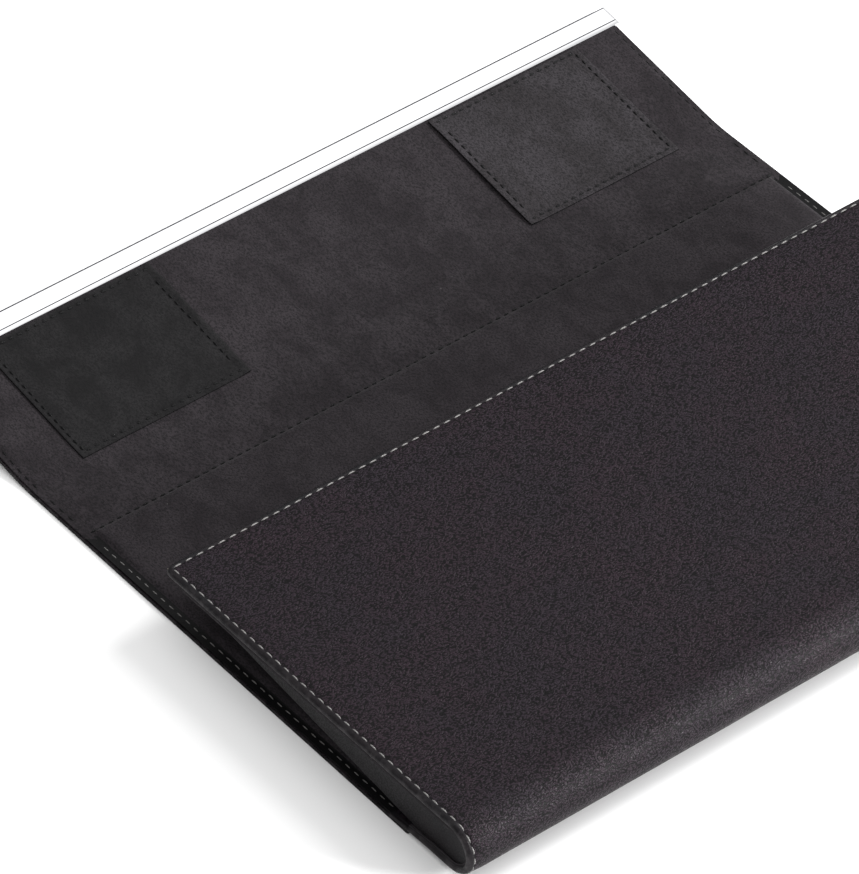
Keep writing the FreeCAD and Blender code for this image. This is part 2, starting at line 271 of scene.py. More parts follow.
def thicken(piece, thickness, edge=0.0):
    """Gives a sheet its thickness, inwards, with its cut edges slightly rounded."""
    apply_modifier(piece, "SOLIDIFY", thickness=thickness, offset=-1, use_even_offset=True)
    if edge:
        apply_modifier(piece, "BEVEL", width=edge, segments=2, limit_method="ANGLE",
                       angle_limit=math.radians(60))


def lay(piece, path, smooth=50):
    """Lays a flat piece along a path, its faces outwards."""
    for vert in piece.data.vertices:
        vert.co.y, vert.co.z = path.place(vert.co.y, vert.co.z)
    edit(piece)
    bpy.ops.mesh.select_all(action="SELECT")
    bpy.ops.mesh.normals_make_consistent(inside=False)
    done()
    bpy.ops.object.shade_smooth_by_angle(angle=math.radians(smooth))


def finish_with(piece, slot, *materials):
    piece.data.materials.clear()
    for material in materials:
        piece.data.materials.append(material)
    return piece


def paint(piece, index, wanted):
    """Gives faces their second finish, by the place of their middle."""
    for face in piece.data.polygons:
        if wanted(face.center):
            face.material_index = index

# ---- Shader node groups ------------------------------------------------------------------------


class Nodes:
    """Adds nodes to a tree and links them, left to right."""

    def __init__(self, tree):
        self.tree = tree

    def add(self, kind, inputs=None, **settings):
        node = self.tree.nodes.new(kind)
        for name, value in settings.items():
            setattr(node, name, value)
        for name, value in (inputs or {}).items():
            socket = node.inputs[name]
            if isinstance(value, bpy.types.NodeSocket):
                self.tree.links.new(value, socket)
            else:
                socket.default_value = value
        return node

    def math(self, operation, a, b=0.0, c=0.0):
        return self.add("ShaderNodeMath", {0: a, 1: b, 2: c}, operation=operation).outputs[0]

    def noise(self, vector, scale, detail=3.0, rough=0.55, distortion=0.0):
        return self.add("ShaderNodeTexNoise", {"Vector": vector, "Scale": scale, "Detail": detail,
                                               "Roughness": rough, "Distortion": distortion}
                        ).outputs["Fac"]

    def between(self, value, low, high, to_low=0.0, to_high=1.0):
        return self.add("ShaderNodeMapRange",
                        {"Value": value, "From Min": low, "From Max": high, "To Min": to_low,
                         "To Max": to_high}, interpolation_type="SMOOTHSTEP").outputs["Result"]

    def turned(self, vector, angle=(0, 0, 0), scale=(1, 1, 1)):
        return self.add("ShaderNodeMapping", {"Vector": vector, "Rotation": angle,
                                              "Scale": scale}).outputs["Vector"]

    def mix(self, amount, a, b):
        return self.add("ShaderNodeMix", {0: amount, 6: a, 7: b}, data_type="RGBA").outputs[2]


def group(name, inputs, outputs):
    """An empty node group with named sockets; returns it with its nodes, inputs and outputs."""
    tree = bpy.data.node_groups.new(name, "ShaderNodeTree")
    for socket, kind, value in inputs:
        made = tree.interface.new_socket(socket, in_out="INPUT", socket_type=kind)
        if value is not None:
            made.default_value = value
    for socket, kind in outputs:
        tree.interface.new_socket(socket, in_out="OUTPUT", socket_type=kind)
    nodes = Nodes(tree)
    return tree, nodes, nodes.add("NodeGroupInput").outputs, nodes.add("NodeGroupOutput").inputs


def pebble_grain():
    """Embossed leather grain: rounded pebbles of uneven size, parted by creases."""
    tree, nodes, given, out = group(
        "PebbleGrain",
        [("Vector", "NodeSocketVector", None), ("Size", "NodeSocketFloat", 1.1 * MM)],
        [("Height", "NodeSocketFloat"), ("Creases", "NodeSocketFloat"),
         ("Patches", "NodeSocketFloat")])
    link = tree.links.new
    scale = nodes.math("DIVIDE", 1.0, given["Size"])
    wander = nodes.add("ShaderNodeTexNoise", {"Vector": given["Vector"], "Scale": 300.0,
                                              "Detail": 2.0}).outputs["Color"]
    moved = nodes.add("ShaderNodeVectorMath", {0: wander, 1: (0.5, 0.5, 0.5)},
                      operation="SUBTRACT").outputs[0]
    moved = nodes.add("ShaderNodeVectorMath", {0: moved, "Scale": 2.2 * MM},
                      operation="SCALE").outputs[0]
    bent = nodes.add("ShaderNodeVectorMath", {0: given["Vector"], 1: moved}).outputs[0]
    long = nodes.turned(bent, (0, 0, math.radians(-8)), (0.55, 1.0, 1.0))
    cells = nodes.add("ShaderNodeTexVoronoi", {"Vector": long, "Scale": scale,
                                               "Smoothness": 0.55}, feature="SMOOTH_F1")
    pebbles = nodes.between(cells.outputs["Distance"], 0.05, 0.75, 1.0, 0.0)
    small_scale = nodes.math("MULTIPLY", scale, 2.3)
    small = nodes.add("ShaderNodeTexVoronoi", {"Vector": bent, "Scale": small_scale,
                                               "Smoothness": 0.6}, feature="SMOOTH_F1")
    wrinkles = nodes.between(small.outputs["Distance"], 0.05, 0.75, 1.0, 0.0)
    pores = nodes.noise(given["Vector"], 5200.0, 2.0)
    height = nodes.math("MULTIPLY_ADD", wrinkles, 0.34, pebbles)
    height = nodes.math("MULTIPLY_ADD", pores, 0.12, height)
    link(height, out["Height"])
    # Creases sets the leather's roughness and also its painted shade in the creases.
    link(nodes.between(height, 0.2, 0.8, 1.0, 0.0), out["Creases"])
    link(nodes.between(nodes.noise(given["Vector"], 34.0, 4.0, 0.62), 0.36, 0.66),
         out["Patches"])
    return tree


def suede_nap():
    """Brushed nap: short fibres, and soft strokes where it lies the other way."""
    tree, nodes, given, out = group(
        "SuedeNap", [("Vector", "NodeSocketVector", None)],
        [("Fibres", "NodeSocketFloat"), ("Strokes", "NodeSocketFloat"),
         ("Height", "NodeSocketFloat")])
    link = tree.links.new
    brushed = nodes.turned(given["Vector"], (0, 0, math.radians(-35)), (1.0, 0.6, 1.0))
    strokes = nodes.noise(brushed, 75.0, 7.0, 0.72, 0.5)
    clouds = nodes.noise(given["Vector"], 22.0, 3.0)
    both = nodes.math("MULTIPLY_ADD", clouds, 0.3, nodes.math("MULTIPLY", strokes, 0.85))
    fibres = nodes.noise(nodes.turned(given["Vector"], (0, 0, 0.6), (1.0, 0.6, 1.0)),
                         1500.0, 4.0, 0.75)
    tufts = nodes.noise(given["Vector"], 900.0, 3.0, 0.6)
    link(fibres, out["Fibres"])
    link(nodes.between(both, 0.45, 0.7), out["Strokes"])
    link(nodes.math("MULTIPLY_ADD", tufts, 0.8, nodes.math("MULTIPLY", fibres, 0.5)),
         out["Height"])
    return tree


def edge_rub():
    """Where handling has rubbed the two long sides: broken, and strongest at the very edge."""
    tree, nodes, given, out = group(
        "EdgeRub",
        [("Vector", "NodeSocketVector", None), ("Half Width", "NodeSocketFloat", HALF),
         ("Reach", "NodeSocketFloat", 2 * MM)], [("Mask", "NodeSocketFloat")])
    apart = nodes.add("ShaderNodeSeparateXYZ", {"Vector": given["Vector"]}).outputs["X"]
    inside = nodes.math("SUBTRACT", given["Half Width"], nodes.math("ABSOLUTE", apart))
    near = nodes.math("SUBTRACT", 1.0, nodes.math("DIVIDE", inside, given["Reach"]))
    broken = nodes.between(nodes.noise(given["Vector"], 210.0, 4.0, 0.7), 0.4, 0.72)
    mask = nodes.add("ShaderNodeMath", {0: near, 1: broken}, operation="MULTIPLY",
                     use_clamp=True).outputs[0]
    tree.links.new(mask, out["Mask"])
    return tree


def lint():
    """Sparse pale specks of dust and fibre."""
    tree, nodes, given, out = group(
        "Lint", [("Vector", "NodeSocketVector", None), ("Spacing", "NodeSocketFloat", 9 * MM)],
        [("Mask", "NodeSocketFloat")])
    scale = nodes.math("DIVIDE", 1.0, given["Spacing"])
    specks = nodes.add("ShaderNodeTexVoronoi", {"Vector": given["Vector"], "Scale": scale})
    spot = nodes.between(specks.outputs["Distance"], 0.012, 0.03, 1.0, 0.0)
    chosen = nodes.add("ShaderNodeSeparateColor", {"Color": specks.outputs["Color"]}).outputs[0]
    kept = nodes.math("GREATER_THAN", chosen, 0.62)
    tree.links.new(nodes.math("MULTIPLY", spot, kept), out["Mask"])
    return tree


def thread_twist():
    """Plies of a sewing thread, wound round it; the vector is the stitch's own UV."""
    tree, nodes, given, out = group(
        "ThreadTwist", [("Vector", "NodeSocketVector", None)],
        [("Plies", "NodeSocketFloat"), ("Fuzz", "NodeSocketFloat")])
    slanted = nodes.turned(given["Vector"], (0, 0, math.radians(38)))
    plies = nodes.add("ShaderNodeTexWave", {"Vector": slanted, "Scale": 2.4, "Distortion": 0.6,
                                            "Detail": 2.0}, bands_direction="Y")
    tree.links.new(plies.outputs["Fac"], out["Plies"])
    tree.links.new(nodes.noise(given["Vector"], 30.0, 3.0), out["Fuzz"])
    return tree


GROUPS = {make.__name__: make() for make in (pebble_grain, suede_nap, edge_rub, lint,
                                             thread_twist)}

# ---- Materials ---------------------------------------------------------------------------------


def rgb(red, green, blue):
    """A colour as a display shows it, 0 to 255, as the shader needs it."""
    linear = [((value / 255 + 0.055) / 1.055) ** 2.4 if value > 10 else value / 255 / 12.92
              for value in (red, green, blue)]
    return (*linear, 1.0)


def material(name):
    """An empty material with its shader; returns it with its nodes, shader and coordinates."""
    made = bpy.data.materials.new(name)
    made.use_nodes = True
    made.node_tree.nodes.clear()
    nodes = Nodes(made.node_tree)
    shader = nodes.add("ShaderNodeBsdfPrincipled")
    output = nodes.add("ShaderNodeOutputMaterial")
    made.node_tree.links.new(shader.outputs[0], output.inputs[0])
    places = nodes.add("ShaderNodeTexCoord")
    return made, nodes, shader, places


def use(nodes, name, vector, **values):
    """Puts a node group into a material and returns its outputs."""
    node = nodes.add("ShaderNodeGroup", node_tree=GROUPS[name])
    nodes.tree.links.new(vector, node.inputs["Vector"])
    for key, value in values.items():
        node.inputs[key.replace("_", " ")].default_value = value
    return node.outputs


def bump(nodes, shader, height, strength, distance):
    made = nodes.add("ShaderNodeBump", {"Height": height, "Strength": strength,
                                        "Distance": distance})
    nodes.tree.links.new(made.outputs[0], shader.inputs["Normal"])


def join_up(nodes, shader, colour=None, rough=None, metal=None):
    for value, socket in ((colour, "Base Color"), (rough, "Roughness"), (metal, "Metallic")):
        if value is not None:
            nodes.tree.links.new(value, shader.inputs[socket])


def leather(name, warm, cool, grain, relief, gloss, crease=0.4):
    """Black grained leather, mottled between a warm and a cool black, with painted shade
    darkening its grain's creases.
    """
    made, nodes, shader, places = material(name)
    place = places.outputs["Object"]
    pebbles = use(nodes, "pebble_grain", place, Size=grain)
    rub = use(nodes, "edge_rub", place, Reach=1.6 * MM)["Mask"]
    specks = use(nodes, "lint", place, Spacing=14 * MM)["Mask"]
    colour = nodes.mix(pebbles["Patches"], warm, cool)
    # Painted shade: the grain's creases are darkened towards black, by the crease amount.
    dark = nodes.mix(nodes.math("MULTIPLY", pebbles["Creases"], crease), colour, rgb(3, 2, 3))
    worn = nodes.mix(nodes.math("MULTIPLY", rub, 0.35), dark, rgb(92, 88, 90))
    dusty = nodes.mix(nodes.math("MULTIPLY", specks, 0.3), worn, rgb(130, 128, 126))
    rough = nodes.math("MULTIPLY_ADD", pebbles["Creases"], 0.14, gloss)
    rough = nodes.math("MULTIPLY_ADD", pebbles["Patches"], 0.06, rough)
    join_up(nodes, shader, dusty, rough)
    bump(nodes, shader, pebbles["Height"], 1.0, relief)
    shader.inputs["Specular IOR Level"].default_value = 0.12
    return made


def suede(name, light, dark, nap_depth):
    """Black suede lining: nap, brushed strokes and a little lint."""
    made, nodes, shader, places = material(name)
    place = places.outputs["Object"]
    nap = use(nodes, "suede_nap", place)
    specks = use(nodes, "lint", place, Spacing=11 * MM)["Mask"]
    colour = nodes.mix(nap["Strokes"], dark, light)
    fibres = nodes.between(nap["Fibres"], 0.38, 0.58, 0.75, 0.0)
    colour = nodes.mix(fibres, colour, rgb(12, 12, 13))
    colour = nodes.mix(nodes.math("MULTIPLY", specks, 0.35), colour, rgb(120, 118, 116))
    rough = nodes.math("MULTIPLY_ADD", nap["Strokes"], 0.08, 0.86)
    join_up(nodes, shader, colour, rough)
    bump(nodes, shader, nap["Height"], 0.8, nap_depth)
    shader.inputs["Specular IOR Level"].default_value = 0.08
    shader.inputs["Sheen Weight"].default_value = 0.04
    shader.inputs["Sheen Roughness"].default_value = 0.55
    return made


def thread(name, pale, dark, gloss):
    """Twisted sewing thread."""
    made, nodes, shader, places = material(name)
    twist = use(nodes, "thread_twist", places.outputs["UV"])
    tone = nodes.math("MULTIPLY_ADD", twist["Fuzz"], 0.35, nodes.math("MULTIPLY",
                                                                      twist["Plies"], 0.65))
    join_up(nodes, shader, nodes.mix(tone, dark, pale),
            nodes.math("MULTIPLY_ADD", twist["Fuzz"], 0.2, gloss))
    bump(nodes, shader, twist["Plies"], 0.8, 0.12 * MM)
    shader.inputs["Specular IOR Level"].default_value = 0.2
    return made


def polished_metal():
    """Polished bar: faint lengthwise polishing lines and slight smudges."""
    made, nodes, shader, places = material("polished_bar")
    place = places.outputs["Object"]
    lines = nodes.noise(nodes.turned(place, (0, 0, 0), (1.0, 40.0, 40.0)), 60.0, 4.0, 0.7)
    smudges = nodes.between(nodes.noise(place, 38.0, 4.0, 0.6), 0.45, 0.75)
    rough = nodes.math("MULTIPLY_ADD", smudges, 0.07, 0.055)
    rough = nodes.math("MULTIPLY_ADD", lines, 0.03, rough)
    colour = nodes.mix(smudges, rgb(246, 246, 248), rgb(236, 237, 240))
    join_up(nodes, shader, colour, rough)
    bump(nodes, shader, lines, 0.1, 0.002 * MM)
    shader.inputs["Metallic"].default_value = 1.0
    return made


def groove_shade_metal():
    """Dark, dull metal at the bottom of the bar's groove: painted shade, standing in for the
    shadow in the groove.
    """
    made, nodes, shader, places = material("bar_groove_painted_shade")
    place = places.outputs["Object"]
    streaks = nodes.noise(nodes.turned(place, (0, 0, 0), (1.0, 20.0, 20.0)), 90.0, 4.0, 0.7)
    join_up(nodes, shader, nodes.mix(streaks, rgb(20, 20, 22), rgb(58, 58, 61)),
            nodes.between(streaks, 0.3, 0.7, 0.45, 0.65))
    bump(nodes, shader, streaks, 0.3, 0.02 * MM)
    return made


def board():
    """Grey stiffener board, with pressed fibres."""
    made, nodes, shader, places = material("stiffener_board")
    place = places.outputs["Object"]
    fibres = nodes.noise(nodes.turned(place, (0, 0, 0.3), (1.0, 0.3, 1.0)), 1400.0, 5.0, 0.7)
    flecks = nodes.between(nodes.noise(place, 320.0, 4.0, 0.7), 0.5, 0.66)
    colour = nodes.mix(fibres, rgb(88, 84, 78), rgb(128, 122, 113))
    colour = nodes.mix(nodes.math("MULTIPLY", flecks, 0.5), colour, rgb(66, 62, 58))
    join_up(nodes, shader, colour, nodes.math("MULTIPLY_ADD", fibres, 0.12, 0.8))
    bump(nodes, shader, fibres, 0.5, 0.08 * MM)
    return made


def magnet():
    """Nickel-plated magnet strip, dull and speckled."""
    made, nodes, shader, places = material("nickel_magnet")
    place = places.outputs["Object"]
    grain = nodes.noise(place, 1800.0, 4.0, 0.6)
    stains = nodes.between(nodes.noise(place, 150.0, 4.0, 0.65), 0.5, 0.72)
    colour = nodes.mix(stains, rgb(176, 174, 168), rgb(126, 122, 114))
    rough = nodes.math("MULTIPLY_ADD", stains, 0.25, nodes.math("MULTIPLY_ADD", grain, 0.1, 0.26))
    join_up(nodes, shader, colour, rough)
    bump(nodes, shader, grain, 0.3, 0.03 * MM)
    shader.inputs["Metallic"].default_value = 1.0
    return made


# The last number of a leather is how strongly painted shade darkens its grain's creases (0.4 when
# not given).
PEBBLED = leather("pebbled_leather", rgb(39, 29, 36), rgb(36, 29, 36), 0.58 * MM, 0.13 * MM,
                  0.3, 1.0)
TURNED = leather("turned_edge_leather", rgb(27, 23, 26), rgb(21, 20, 23), 0.6 * MM, 0.02 * MM,
                 0.34)
# Near-black edge leather: real edge paint on the outer leathers' cut sides, and painted shade on
# the back's sewn margin and the card pockets' cut edges.
EDGE_PAINT_AND_SHADE = leather("edge_paint_and_shade_leather", rgb(8, 8, 9), rgb(5, 5, 6), 0.5 * MM, 0.02 * MM,
                   0.45)
SUEDE = suede("suede_lining", rgb(47, 43, 46), rgb(34, 30, 33), 0.1 * MM)
# The two pocket suedes are copies of the lining's suede: painted light makes the right pocket
# lighter, painted shade makes the left one darker.
RIGHT_POCKET_LIT_SUEDE = suede("right_pocket_lit_suede", rgb(54, 51, 54), rgb(42, 39, 41), 0.1 * MM)
LEFT_POCKET_SHADED_SUEDE = suede("left_pocket_shaded_suede", rgb(33, 32, 33), rgb(20, 19, 20), 0.1 * MM)
PALE_THREAD = thread("pale_topstitch", rgb(168, 166, 164), rgb(80, 78, 78), 0.45)
GREY_THREAD = thread("grey_topstitch", rgb(128, 126, 124), rgb(66, 65, 65), 0.5)
BLACK_THREAD = thread("black_thread", rgb(14, 14, 15), rgb(3, 3, 4), 0.5)
POLISHED = polished_metal()
GROOVE_SHADE = groove_shade_metal()
BOARD = board()
NICKEL = magnet()

# ---- Stitches ----------------------------------------------------------------------------------


def one_stitch():
    """A single stitch along Y: a stout thread whose ends dive into the leather."""
    bpy.ops.object.select_all(action="DESELECT")
    length, radius = 3.4 * MM, 0.29 * MM
    bpy.ops.mesh.primitive_cylinder_add(vertices=8, radius=radius, depth=length,
                                        rotation=(math.pi / 2, 0, 0))
    piece = bpy.context.object
    piece.name = "stitch"
    bpy.ops.object.transform_apply(location=True, rotation=True, scale=True)
    edit(piece, "EDGE")
    pick(piece, "EDGE", lambda a, b: abs(a.y - b.y) > length / 2)
    bpy.ops.mesh.subdivide(number_cuts=5)
    done()
    for share, drop, width in ((1.0, 0.62, 0.45), (0.667, 0.26, 0.85), (0.333, 0.05, 1.0)):
        for way in (-1, 1):
            place = way * share * length / 2
            edit(piece)
            pick(piece, "VERT", lambda co: abs(co.y - place) < TINY)
            bpy.ops.transform.resize(value=(width, 1, width),
                                     center_override=(0, place, 0))
            bpy.ops.transform.translate(value=(0, 0, -drop * radius * 1.7))
            done()
    return piece


STITCH = one_stitch()


def stitch_row(name, start, end, height, path, thread_used, seed, size=1.0, pitch=PITCH,
               wave=None):
    """Copies of the stitch from one flat place (x, station) to another, sewn into one row."""
    rng = random.Random(seed)
    run = Vector(end) - Vector(start)
    count = max(1, round(run.length / pitch))
    stretch = run.length / count / PITCH
    heading = math.atan2(-run.x, run.y)
    copies = []
    for index in range(count):
        at = Vector(start) + run * ((index + 0.5) / count)
        mesh = STITCH.data.copy()
        turn = Matrix.Rotation(heading + math.radians(rng.uniform(-2.5, 2.5)), 4, "Z")
        scale = Matrix.Diagonal((size, stretch * rng.uniform(0.95, 1.04), size, 1))
        move = Matrix.Translation((at.x + rng.uniform(-0.06, 0.06) * MM,
                                   at.y + rng.uniform(-0.06, 0.06) * MM, height))
        mesh.transform(move @ turn @ scale)
        copy = bpy.data.objects.new(name, mesh)
        bpy.context.collection.objects.link(copy)
        copies.append(copy)
    bpy.ops.object.select_all(action="DESELECT")
    for copy in copies:
        copy.select_set(True)
    bpy.context.view_layer.objects.active = copies[0]
    if count > 1:
        bpy.ops.object.join()
    row = bpy.context.view_layer.objects.active
    row.name = row.data.name = name
    if wave:
        uneven(row, *wave)
    lay(row, path, 60)
    slot = "lining_thread" if thread_used is BLACK_THREAD else "topstitch"
    return finish_with(row, slot, thread_used)

# ---- Front panel, fold and pocket --------------------------------------------------------------

FRONT_WAVE = (60 * MM, 0.35 * MM)
FRONT_MIDDLE_INSET = 9 * MM      # where the flat middle of the panel begins
FRONT_CROWN = 0.2 * MM           # how far the middle stands above the sewn edge
GROOVE = 0.62 * MM               # depth of the stitched groove, below the middle
CORNER = 3.5 * MM                # radius of the panel's two free corners
TAPER_END = 25 * MM              # station where the turned edge has its full depth
TAPER_START = 10 * MM            # station where it begins, at the back leather
SEWN_ACROSS = 2 * (HALF - STITCH_INSET)          # lengths of the stitched lines
SEWN_UP = FRONT_LENGTH - STITCH_INSET - TAPER_END
ACROSS_STITCHES = round(SEWN_ACROSS / PITCH)
UP_STITCHES = round(SEWN_UP / PITCH)


def turned_edge_steps():
    """(outwards, up) from the middle, down to the stitches, over the rounded edge and in."""
    profile = [(FRONT_MIDDLE_INSET, 0.0), (7.2 * MM, -0.03 * MM), (5.6 * MM, -0.10 * MM),
               (4.3 * MM, -0.18 * MM), (3.3 * MM, -0.30 * MM), (2.8 * MM, -0.46 * MM),
               (STITCH_INSET, -GROOVE), (2.0 * MM, -0.44 * MM)]
    radius = RIM_DEPTH / 2
    for angle in range(0, 181, 18):
        turn = math.radians(angle)
        profile.append((radius * (1 - math.sin(turn)) - TINY * angle / 18,
                        -FRONT_CROWN - 0.08 * MM - radius * (1 - math.cos(turn))))
    profile.append((10 * MM, profile[-1][1]))
    return [(a[0] - b[0], b[1] - a[1]) for a, b in zip(profile, profile[1:])]


def front_skin():
    """The front's leather: turned in on three sides, round the fold, flat under the back."""
    inset = FRONT_MIDDLE_INSET
    skin = flat_sheet("front_skin", HALF - inset, TAPER_END, FRONT_LENGTH - inset)
    carry_edges(skin, ("left", "right", "end"), turned_edge_steps())
    press = 2 * LEATHER / RIM_DEPTH
    extend(skin, 1, TAPER_END, lambda co: True, (0, TAPER_START - TAPER_END, 0), press)
    extend(skin, 1, TAPER_START, lambda co: co.z > -1.2 * LEATHER, (0, -TAPER_START, 0), 0.1)
    across, up = SEWN_ACROSS / ACROSS_STITCHES, SEWN_UP / UP_STITCHES
    cut_up(skin, 0, inset - HALF, HALF - inset, 2 * (HALF - inset) / (3 * ACROSS_STITCHES))
    cut_up(skin, 1, TAPER_END, FRONT_LENGTH - inset,
           (FRONT_LENGTH - inset - TAPER_END) / (3 * UP_STITCHES))
    cut_up(skin, 1, TAPER_START, TAPER_END, CELL)
    cut_up(skin, 1, 0, TAPER_START, CELL)

    def hole(co):
        on_line = abs(co.z + GROOVE) < 3 * TINY
        on_side = abs(co.x) > HALF - STITCH_INSET - TINY
        along = (co.y - TAPER_END) / up if on_side else (co.x + SEWN_ACROSS / 2) / across
        return on_line and abs(along - round(along)) < 0.12

    shift(skin, hole, (0, 0, -STITCH_PULL))
    for vert in skin.data.vertices:
        corner = Vector((abs(vert.co.x) - HALF + CORNER, vert.co.y - FRONT_LENGTH + CORNER))
        if min(corner) > 0:
            corner *= max(corner) / corner.length
            vert.co.x = math.copysign(HALF - CORNER + corner.x, vert.co.x)
            vert.co.y = FRONT_LENGTH - CORNER + corner.y
    uneven(skin, *FRONT_WAVE)
    thicken(skin, LEATHER)
    lay(skin, FRONT_PATH)
    finish_with(skin, "leather", PEBBLED, TURNED)
    rim = STITCH_INSET + 0.6 * MM
    paint(skin, 1, lambda co: abs(co.x) > HALF - rim or co.y > FRONT_EDGE - rim)
    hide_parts("front_leather", "fold_leather")
    across_fold(skin)


def across_fold(piece):
    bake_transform(piece)


def front_stitches():
    """Pale topstitching in the groove of the front panel's three sides and round the fold."""
    side = HALF - STITCH_INSET
    top = FRONT_LENGTH - STITCH_INSET
    height = 0.14 * MM - GROOVE
    for name, x, seed in (("left", -side, 1), ("right", side, 2)):
        row = stitch_row("front_stitches_" + name, (x, TAPER_START), (x, top), height,
                         FRONT_PATH, PALE_THREAD, seed, wave=FRONT_WAVE)
        across_fold(row)
    row = stitch_row("front_stitches_top", (-side, top), (side, top), height, FRONT_PATH,
                     PALE_THREAD, 3, wave=FRONT_WAVE)
    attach(row, "front")


LINING_INSET = 1.2 * MM
POUCH_END = FRONT_LENGTH - 2.6 * MM


def pouch_lining():
    """Suede from the back, round the inside of the fold and up to the front's top edge."""
    half = HALF - LINING_INSET
    piece = flat_sheet("pouch_lining", half - 4 * MM, TAPER_END, POUCH_END - 3 * MM)
    carry_edges(piece, ("left", "right", "end"),
                [(1.6 * MM, 0.15 * MM), (1.4 * MM, -0.1 * MM), (1 * MM, 0.05 * MM)])
    edit(piece)
    bpy.ops.mesh.select_all(action="SELECT")
    bpy.ops.transform.translate(value=(0, 0, -RIM_DEPTH - 0.1 * MM - FRONT_CROWN))
    done()
    depth = RIM_DEPTH + 0.1 * MM + FRONT_CROWN
    extend(piece, 1, TAPER_END, lambda co: True, (0, TAPER_START - TAPER_END, 0),
           (2 * LEATHER + 0.1 * MM) / depth)
    cut_up(piece, 0, 4 * MM - half, half - 4 * MM, 4 * MM)
    cut_up(piece, 1, TAPER_END, POUCH_END - 3 * MM, 2 * MM)
    cut_up(piece, 1, TAPER_START, TAPER_END, 3 * MM)
    uneven(piece, 30 * MM, 0.25 * MM)
    thicken(piece, LINING)
    lay(piece, FRONT_PATH)
    finish_with(piece, "suede", SUEDE)
    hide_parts("fold_lining", "front_fold_lining", "front_lining")
    across_fold(piece)


def divider_pad():
    """The divider: sewn to the front along both sides, dropped to a flat, stiffened middle."""
    sewn = 8 * MM
    slope = divider_low.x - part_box("divider_lower_lining")[0].x - sewn
    start = FOLD_Y - 6.5 * MM
    end = divider_high.y
    top = divider_high.z + LINING
    piece = flat_sheet("divider", -divider_low.x, start, end)
    rise = (FRONT_TOP - RIM_DEPTH - FRONT_CROWN - LINING - 0.5 * MM) - top
    steps = [(0.25 * slope, 0.08 * rise), (0.25 * slope, 0.42 * rise),
             (0.25 * slope, 0.42 * rise), (0.25 * slope, 0.08 * rise), (sewn, 0.0)]
    carry_edges(piece, ("left", "right"), steps)
    cut_up(piece, 0, divider_low.x, -divider_low.x, 4 * MM)
    cut_up(piece, 1, start, end, 4 * MM)
    uneven(piece, 45 * MM, 0.4 * MM)
    thicken(piece, top + LINING - divider_low.z, 0.5 * MM)
    for vert in piece.data.vertices:
        vert.co.z += top
    work_on(piece)
    bpy.ops.object.shade_smooth_by_angle(angle=math.radians(50))
    finish_with(piece, "suede", SUEDE)
    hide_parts("divider_lower_lining", "divider_upper_lining")
    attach(piece, "front")

# ---- Back --------------------------------------------------------------------------------------


CUT_EDGE_WIDTH = 4.4 * MM        # how much of the leather's side the shaped edge takes


def cut_edge_steps():
    """(outwards, up) of a single leather near its cut edge: a shallow groove, then the edge."""
    profile = [(CUT_EDGE_WIDTH / MM, 0), (3.4, -0.02), (2.8, -0.075), (2.4, -0.25), (2.0, -0.075),
               (1.4, 0.02), (0.6, -0.03), (0.12, -0.22)]
    return [((a[0] - b[0]) * MM, (b[1] - a[1]) * MM) for a, b in zip(profile, profile[1:])]


def outer_skin(name, start, end, nodes):
    """A leather that lies outside down, single, its long sides cut and painted."""
    flat_half = HALF - CUT_EDGE_WIDTH
    skin = flat_sheet(name, flat_half, start, end)
    carry_edges(skin, ("left", "right"), cut_edge_steps())
    cut_up(skin, 0, -flat_half, flat_half, 4 * MM)
    cut_up(skin, 1, start, end, CELL)
    uneven(skin, 50 * MM, 0.12 * MM)
    thicken(skin, LEATHER)
    for vert in skin.data.vertices:
        vert.co.z = -vert.co.z
    lay(skin, BACK_PATH)
    finish_with(skin, "leather", PEBBLED, EDGE_PAINT_AND_SHADE)
    paint(skin, 1, lambda co: abs(co.x) > HALF - 0.5 * MM)
    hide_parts(*nodes)
    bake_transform(skin)


def back_cover():
    """Suede over the back's board and down to its flat sewn margin, which is near-black as
    painted shade.
    """
    start, end = FLANGE_END - 6 * MM, MID_SPINE
    half = HALF - LINING_INSET
    raised = -board_low.x
    piece = flat_sheet("back_cover", raised - 1 * MM, start, board_high.y - 1 * MM)
    fall = SOFT_TOP - cover_high.z
    carry_edges(piece, ("left", "right", "end"),
                [(1 * MM, 0.1 * fall), (0.8 * MM, 0.4 * fall), (0.8 * MM, 0.4 * fall),
                 (1.2 * MM, 0.1 * fall), (half - raised - 2.8 * MM, 0)])
    outer = board_high.y + half - raised
    extend(piece, 1, outer, lambda co: True, (0, end - outer, 0))
    cut_up(piece, 0, 1 * MM - raised, raised - 1 * MM, 4 * MM)
    cut_up(piece, 1, start, board_high.y - 1 * MM, 2.5 * MM)
    cut_up(piece, 1, outer, end, 1 * MM)
    uneven(piece, 34 * MM, 0.3 * MM)
    thicken(piece, LINING)
    for vert in piece.data.vertices:
        vert.co.z += cover_high.z
    lay(piece, BACK_PATH)
    finish_with(piece, "suede", SUEDE, EDGE_PAINT_AND_SHADE)
    # Painted shade: the sewn margin beside the board takes the near-black edge leather instead of
    # the suede.
    paint(piece, 1, lambda co: abs(co.x) > raised + 2 * MM and co.y < board_high.y)
    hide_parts("back_lining")
    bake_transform(piece)


def back_stitches():
    """Pale stitches through the back's sewn margin, and the black seam across its end."""
    x = HALF - 3.7 * MM
    for name, side, seed in (("left", -1, 11), ("right", 1, 12)):
        row = stitch_row("back_stitches_" + name, (side * x, FLANGE_END - 4 * MM),
                         (side * x, SPINE_FOLD - 12 * MM), SOFT_TOP, BACK_PATH, GREY_THREAD,
                         seed, 0.8)
        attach(row, "back")
    seam = stitch_row("back_seam_stitches", (-x, SPINE_FOLD - 4 * MM), (x, SPINE_FOLD - 4 * MM),
                      SOFT_TOP + 0.25 * MM, BACK_PATH, BLACK_THREAD, 13, 1.35,
                      FINE_PITCH)
    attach(seam, "back")

